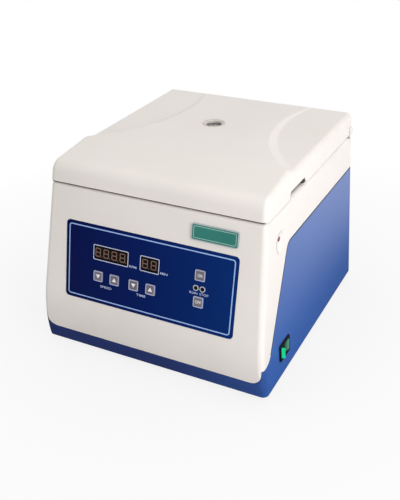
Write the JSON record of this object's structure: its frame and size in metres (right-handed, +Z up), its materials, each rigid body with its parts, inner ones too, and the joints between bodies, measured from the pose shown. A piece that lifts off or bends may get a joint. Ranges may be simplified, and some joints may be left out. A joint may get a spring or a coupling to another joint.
{
  "type": "benchtop centrifuge",
  "caption": "Benchtop laboratory centrifuge: sloped front with a keypad and displays, hinged lid with sight port, side latch release, power rocker, steel chamber and angle rotor.",
  "frame": {"origin": "on the bench, under the middle of the housing's width and depth", "axes": "+X to the right of someone facing the control panel, +Y to the rear, +Z up"},
  "size_m": [0.3039, 0.3248, 0.2458],
  "materials": {
    "white_plastic": "fine satin moulded ABS",
    "blue_plastic": "fine satin moulded ABS",
    "liner_plastic": "matt sheet",
    "black_rubber": "moulded",
    "grey_rubber": "moulded",
    "stainless": "brushed",
    "zinc_steel": "zinc plated",
    "aluminium": "machined and clear anodised",
    "motor_paint": "black satin paint",
    "motor_iron": "varnished laminations",
    "copper": "enamelled copper wire",
    "pin_brass": "plated",
    "board": "glass-fibre circuit board",
    "component": "moulded and drawn parts",
    "panel_film": "semi-gloss printed film",
    "display_window": "dark filtered resin",
    "frame_plastic": "satin",
    "key_plastic": "satin moulded",
    "lamp": "clear green resin, unlit",
    "badge": "semi-gloss teal",
    "switch_black": "moulded nylon",
    "rocker_green": "clear green resin over a lamp",
    "button_red": "moulded",
    "port_ring": "satin moulded",
    "clear_window": "clear acrylic"
  },
  "bodies": {
    "housing": {"base_housing": "blue_plastic", "upper_housing": "white_plastic", "base_plate": "zinc_steel", "base_screws": "zinc_steel", "rubber_feet": "black_rubber", "deck_screws": "zinc_steel", "hinge_brackets": "zinc_steel", "chamber_bowl": "stainless", "chamber_gasket": "black_rubber", "shaft_boot": "grey_rubber", "motor_dampers": "black_rubber", "motor_mount": "zinc_steel", "motor_end_cap": "motor_paint", "motor_can": "motor_paint", "motor_stator": "motor_iron", "lower_bearing": "stainless", "upper_bearing": "stainless", "control_panel": "panel_film", "display_frames": "frame_plastic", "speed_display": "display_window", "time_display": "display_window", "key_switches": "component", "indicator_lamps": "lamp", "indicator_rings": "frame_plastic", "display_board": "board", "board_screws": "zinc_steel", "badge_plate": "badge", "switch_bezel": "switch_black", "mains_inlet": "switch_black", "inlet_pins": "pin_brass", "fuse_holder": "switch_black", "board_pillars": "pin_brass", "drive_board": "board", "drive_components": "component", "transformer": "motor_iron", "transformer_coil": "copper", "latch_bracket": "zinc_steel", "latch_pin": "zinc_steel", "latch_spring": "zinc_steel"},
    "lid": {"lid_shell": "white_plastic", "lid_liner": "liner_plastic", "lid_screws": "zinc_steel", "sight_port_ring": "port_ring", "sight_port_window": "clear_window", "lid_striker": "zinc_steel", "hinge_pins": "zinc_steel"},
    "rotor": {"drive_shaft": "stainless", "motor_armature": "motor_iron", "angle_rotor": "aluminium", "rotor_nut": "aluminium"},
    "release": {"release_button": "button_red"},
    "latch": {"latch_hook": "zinc_steel"},
    "power": {"power_rocker": "rocker_green"},
    "speed_down_press_key": {"speed_down_key": "key_plastic"},
    "speed_up_press_key": {"speed_up_key": "key_plastic"},
    "time_down_press_key": {"time_down_key": "key_plastic"},
    "time_up_press_key": {"time_up_key": "key_plastic"},
    "start_press_key": {"start_key": "key_plastic"},
    "stop_press_key": {"stop_key": "key_plastic"}
  },
  "joints": [
    {"name": "lid_hinge", "type": "hinge", "parent": "housing", "child": "lid", "pos_m": [0, 0.153, 0.219], "axis": [-1, 0, 0], "range_deg": [0, 75]},
    {"name": "rotor_spin", "type": "hinge", "parent": "housing", "child": "rotor", "pos_m": [0, 0.03, 0.14], "axis": [0, 0, 1], "continuous": true},
    {"name": "release_press", "type": "slide", "parent": "housing", "child": "release", "axis": [-0.9978, 0, -0.0663], "range_m": [0, 0.003], "stiffness_N_per_m": 500, "springref_m": -0.001},
    {"name": "hook_turn", "type": "hinge", "parent": "housing", "child": "latch", "pos_m": [0.112, -0.1005, 0.1905], "axis": [0, 1, 0], "range_deg": [0, 24]},
    {"name": "power_rock", "type": "hinge", "parent": "housing", "child": "power", "pos_m": [0.14585, -0.0995, 0.04037], "axis": [0.0663, 0, -0.9978], "range_deg": [0, 18]},
    {"name": "speed_down_key_press", "type": "slide", "parent": "housing", "child": "speed_down_press_key", "axis": [0, 0.9792, -0.2028], "range_m": [0, 0.0006], "stiffness_N_per_m": 600, "springref_m": -0.0005},
    {"name": "speed_up_key_press", "type": "slide", "parent": "housing", "child": "speed_up_press_key", "axis": [0, 0.9792, -0.2028], "range_m": [0, 0.0006], "stiffness_N_per_m": 600, "springref_m": -0.0005},
    {"name": "time_down_key_press", "type": "slide", "parent": "housing", "child": "time_down_press_key", "axis": [0, 0.9792, -0.2028], "range_m": [0, 0.0006], "stiffness_N_per_m": 600, "springref_m": -0.0005},
    {"name": "time_up_key_press", "type": "slide", "parent": "housing", "child": "time_up_press_key", "axis": [0, 0.9792, -0.2028], "range_m": [0, 0.0006], "stiffness_N_per_m": 600, "springref_m": -0.0005},
    {"name": "start_key_press", "type": "slide", "parent": "housing", "child": "start_press_key", "axis": [0, 0.9792, -0.2028], "range_m": [0, 0.0006], "stiffness_N_per_m": 600, "springref_m": -0.0005},
    {"name": "stop_key_press", "type": "slide", "parent": "housing", "child": "stop_press_key", "axis": [0, 0.9792, -0.2028], "range_m": [0, 0.0006], "stiffness_N_per_m": 600, "springref_m": -0.0005}
  ],
  "couplings": [
    {"joint": "hook_turn", "follows": "release_press", "rad_per_m": 139.63}
  ]
}
